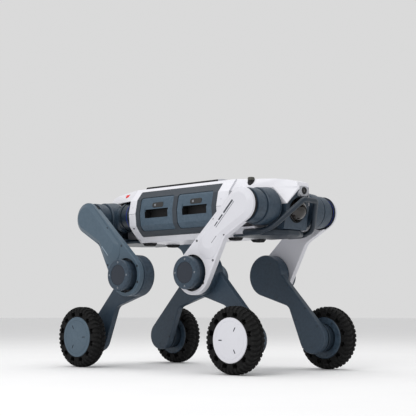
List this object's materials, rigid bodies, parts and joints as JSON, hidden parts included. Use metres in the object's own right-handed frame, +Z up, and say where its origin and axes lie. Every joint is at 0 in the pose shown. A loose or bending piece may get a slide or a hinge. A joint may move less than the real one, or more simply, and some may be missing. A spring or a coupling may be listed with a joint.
{
  "type": "wheel-legged quadruped robot",
  "caption": "Quadruped robot with a barrel-sided torso, pull-out battery packs, sensor nose and tail, guard hoops, and jointed two-link legs ending in airless hub-motor wheels.",
  "frame": {"origin": "on the ground, midway between the four wheels, which is the bottom centre of the bounding box", "axes": "+X forwards, towards the camera end; +Y to the robot's left; +Z up"},
  "size_m": [0.818, 0.452, 0.5415],
  "materials": {
    "white_shell": "satin",
    "blue_grey_shell": "satin",
    "slate_plastic": "satin",
    "graphite_plastic": "matte",
    "black_metal": "matte",
    "black_plastic": "satin",
    "pack_plastic": "matte",
    "actuator_metal": "anodised satin",
    "frame_metal": "anodised",
    "bare_metal": "satin",
    "guard_paint": "satin",
    "dark_dome": "polished",
    "lamp_red": "polished",
    "pad_rubber": "matte",
    "tyre_rubber": "matte"
  },
  "bodies": {
    "torso": {"chassis_frame": "frame_metal", "control_unit": "frame_metal", "torso_shell": "white_shell", "side_bezels": "graphite_plastic", "top_plate": "black_metal", "belly_pads": "pad_rubber", "skid_trays": "graphite_plastic", "head_shell": "white_shell", "tail_shell": "white_shell", "front_sensor_housing": "slate_plastic", "rear_sensor_housing": "slate_plastic", "front_lidar": "dark_dome", "rear_lidar": "dark_dome", "camera": "black_plastic", "front_guard": "guard_paint", "rear_guard": "guard_paint", "tail_lamps": "lamp_red", "shoulder_knobs": "black_plastic", "roll_actuators": "actuator_metal", "body_screws": "bare_metal"},
    "battery_fr": {"battery_fr": "pack_plastic"},
    "button_fr": {"button_fr": "bare_metal"},
    "hip_fr": {"hip_fr": "actuator_metal"},
    "thigh_fr": {"thigh_fr": "white_shell", "knee_motor_fr": "actuator_metal"},
    "shank_fr": {"shank_fr": "slate_plastic", "stator_fr": "frame_metal"},
    "wheel_fr": {"rim_fr": "frame_metal", "tyre_fr": "tyre_rubber", "cap_fr": "white_shell"},
    "battery_fl": {"battery_fl": "pack_plastic"},
    "button_fl": {"button_fl": "bare_metal"},
    "hip_fl": {"hip_fl": "actuator_metal"},
    "thigh_fl": {"thigh_fl": "white_shell", "knee_motor_fl": "actuator_metal"},
    "shank_fl": {"shank_fl": "slate_plastic", "stator_fl": "frame_metal"},
    "wheel_fl": {"rim_fl": "frame_metal", "tyre_fl": "tyre_rubber", "cap_fl": "white_shell"},
    "battery_rr": {"battery_rr": "pack_plastic"},
    "button_rr": {"button_rr": "bare_metal"},
    "hip_rr": {"hip_rr": "actuator_metal"},
    "thigh_rr": {"thigh_rr": "blue_grey_shell", "knee_motor_rr": "actuator_metal"},
    "shank_rr": {"shank_rr": "slate_plastic", "stator_rr": "frame_metal"},
    "wheel_rr": {"rim_rr": "frame_metal", "tyre_rr": "tyre_rubber", "cap_rr": "blue_grey_shell"},
    "battery_rl": {"battery_rl": "pack_plastic"},
    "button_rl": {"button_rl": "bare_metal"},
    "hip_rl": {"hip_rl": "actuator_metal"},
    "thigh_rl": {"thigh_rl": "blue_grey_shell", "knee_motor_rl": "actuator_metal"},
    "shank_rl": {"shank_rl": "slate_plastic", "stator_rl": "frame_metal"},
    "wheel_rl": {"rim_rl": "frame_metal", "tyre_rl": "tyre_rubber", "cap_rl": "blue_grey_shell"}
  },
  "joints": [
    {"name": "battery_slide_fr", "type": "slide", "parent": "torso", "child": "battery_fr", "axis": [0, 1, 0], "range_m": [-0.12, 0]},
    {"name": "button_press_fr", "type": "slide", "parent": "battery_fr", "child": "button_fr", "axis": [0, 1, 0], "range_m": [0, 0.0015], "stiffness_N_per_m": 600, "springref_m": -0.002},
    {"name": "hip_roll_fr", "type": "hinge", "parent": "torso", "child": "hip_fr", "pos_m": [0.264, -0.072, 0.44996], "axis": [-1, 0, 0], "range_deg": [-10, 15]},
    {"name": "hip_pitch_fr", "type": "hinge", "parent": "hip_fr", "child": "thigh_fr", "pos_m": [0.311, -0.178, 0.44996], "axis": [0, 1, 0], "range_deg": [-60, 30]},
    {"name": "knee_fr", "type": "hinge", "parent": "thigh_fr", "child": "shank_fr", "pos_m": [0.136, -0.15, 0.27143], "axis": [0, -1, 0], "range_deg": [-60, 45]},
    {"name": "wheel_fr", "type": "hinge", "parent": "shank_fr", "child": "wheel_fr", "pos_m": [0.308, -0.203, 0.09], "axis": [0, 1, 0], "continuous": true},
    {"name": "battery_slide_fl", "type": "slide", "parent": "torso", "child": "battery_fl", "axis": [0, -1, 0], "range_m": [-0.12, 0]},
    {"name": "button_press_fl", "type": "slide", "parent": "battery_fl", "child": "button_fl", "axis": [0, -1, 0], "range_m": [0, 0.0015], "stiffness_N_per_m": 600, "springref_m": -0.002},
    {"name": "hip_roll_fl", "type": "hinge", "parent": "torso", "child": "hip_fl", "pos_m": [0.264, 0.072, 0.44996], "axis": [1, 0, 0], "range_deg": [-10, 15]},
    {"name": "hip_pitch_fl", "type": "hinge", "parent": "hip_fl", "child": "thigh_fl", "pos_m": [0.311, 0.178, 0.44996], "axis": [0, 1, 0], "range_deg": [-60, 30]},
    {"name": "knee_fl", "type": "hinge", "parent": "thigh_fl", "child": "shank_fl", "pos_m": [0.136, 0.15, 0.27143], "axis": [0, -1, 0], "range_deg": [-60, 45]},
    {"name": "wheel_fl", "type": "hinge", "parent": "shank_fl", "child": "wheel_fl", "pos_m": [0.308, 0.203, 0.09], "axis": [0, 1, 0], "continuous": true},
    {"name": "battery_slide_rr", "type": "slide", "parent": "torso", "child": "battery_rr", "axis": [0, 1, 0], "range_m": [-0.12, 0]},
    {"name": "button_press_rr", "type": "slide", "parent": "battery_rr", "child": "button_rr", "axis": [0, 1, 0], "range_m": [0, 0.0015], "stiffness_N_per_m": 600, "springref_m": -0.002},
    {"name": "hip_roll_rr", "type": "hinge", "parent": "torso", "child": "hip_rr", "pos_m": [-0.264, -0.072, 0.44996], "axis": [-1, 0, 0], "range_deg": [-10, 15]},
    {"name": "hip_pitch_rr", "type": "hinge", "parent": "hip_rr", "child": "thigh_rr", "pos_m": [-0.311, -0.178, 0.44996], "axis": [0, -1, 0], "range_deg": [-60, 30]},
    {"name": "knee_rr", "type": "hinge", "parent": "thigh_rr", "child": "shank_rr", "pos_m": [-0.136, -0.15, 0.27143], "axis": [0, 1, 0], "range_deg": [-60, 45]},
    {"name": "wheel_rr", "type": "hinge", "parent": "shank_rr", "child": "wheel_rr", "pos_m": [-0.308, -0.203, 0.09], "axis": [0, 1, 0], "continuous": true},
    {"name": "battery_slide_rl", "type": "slide", "parent": "torso", "child": "battery_rl", "axis": [0, -1, 0], "range_m": [-0.12, 0]},
    {"name": "button_press_rl", "type": "slide", "parent": "battery_rl", "child": "button_rl", "axis": [0, -1, 0], "range_m": [0, 0.0015], "stiffness_N_per_m": 600, "springref_m": -0.002},
    {"name": "hip_roll_rl", "type": "hinge", "parent": "torso", "child": "hip_rl", "pos_m": [-0.264, 0.072, 0.44996], "axis": [1, 0, 0], "range_deg": [-10, 15]},
    {"name": "hip_pitch_rl", "type": "hinge", "parent": "hip_rl", "child": "thigh_rl", "pos_m": [-0.311, 0.178, 0.44996], "axis": [0, -1, 0], "range_deg": [-60, 30]},
    {"name": "knee_rl", "type": "hinge", "parent": "thigh_rl", "child": "shank_rl", "pos_m": [-0.136, 0.15, 0.27143], "axis": [0, 1, 0], "range_deg": [-60, 45]},
    {"name": "wheel_rl", "type": "hinge", "parent": "shank_rl", "child": "wheel_rl", "pos_m": [-0.308, 0.203, 0.09], "axis": [0, 1, 0], "continuous": true}
  ]
}
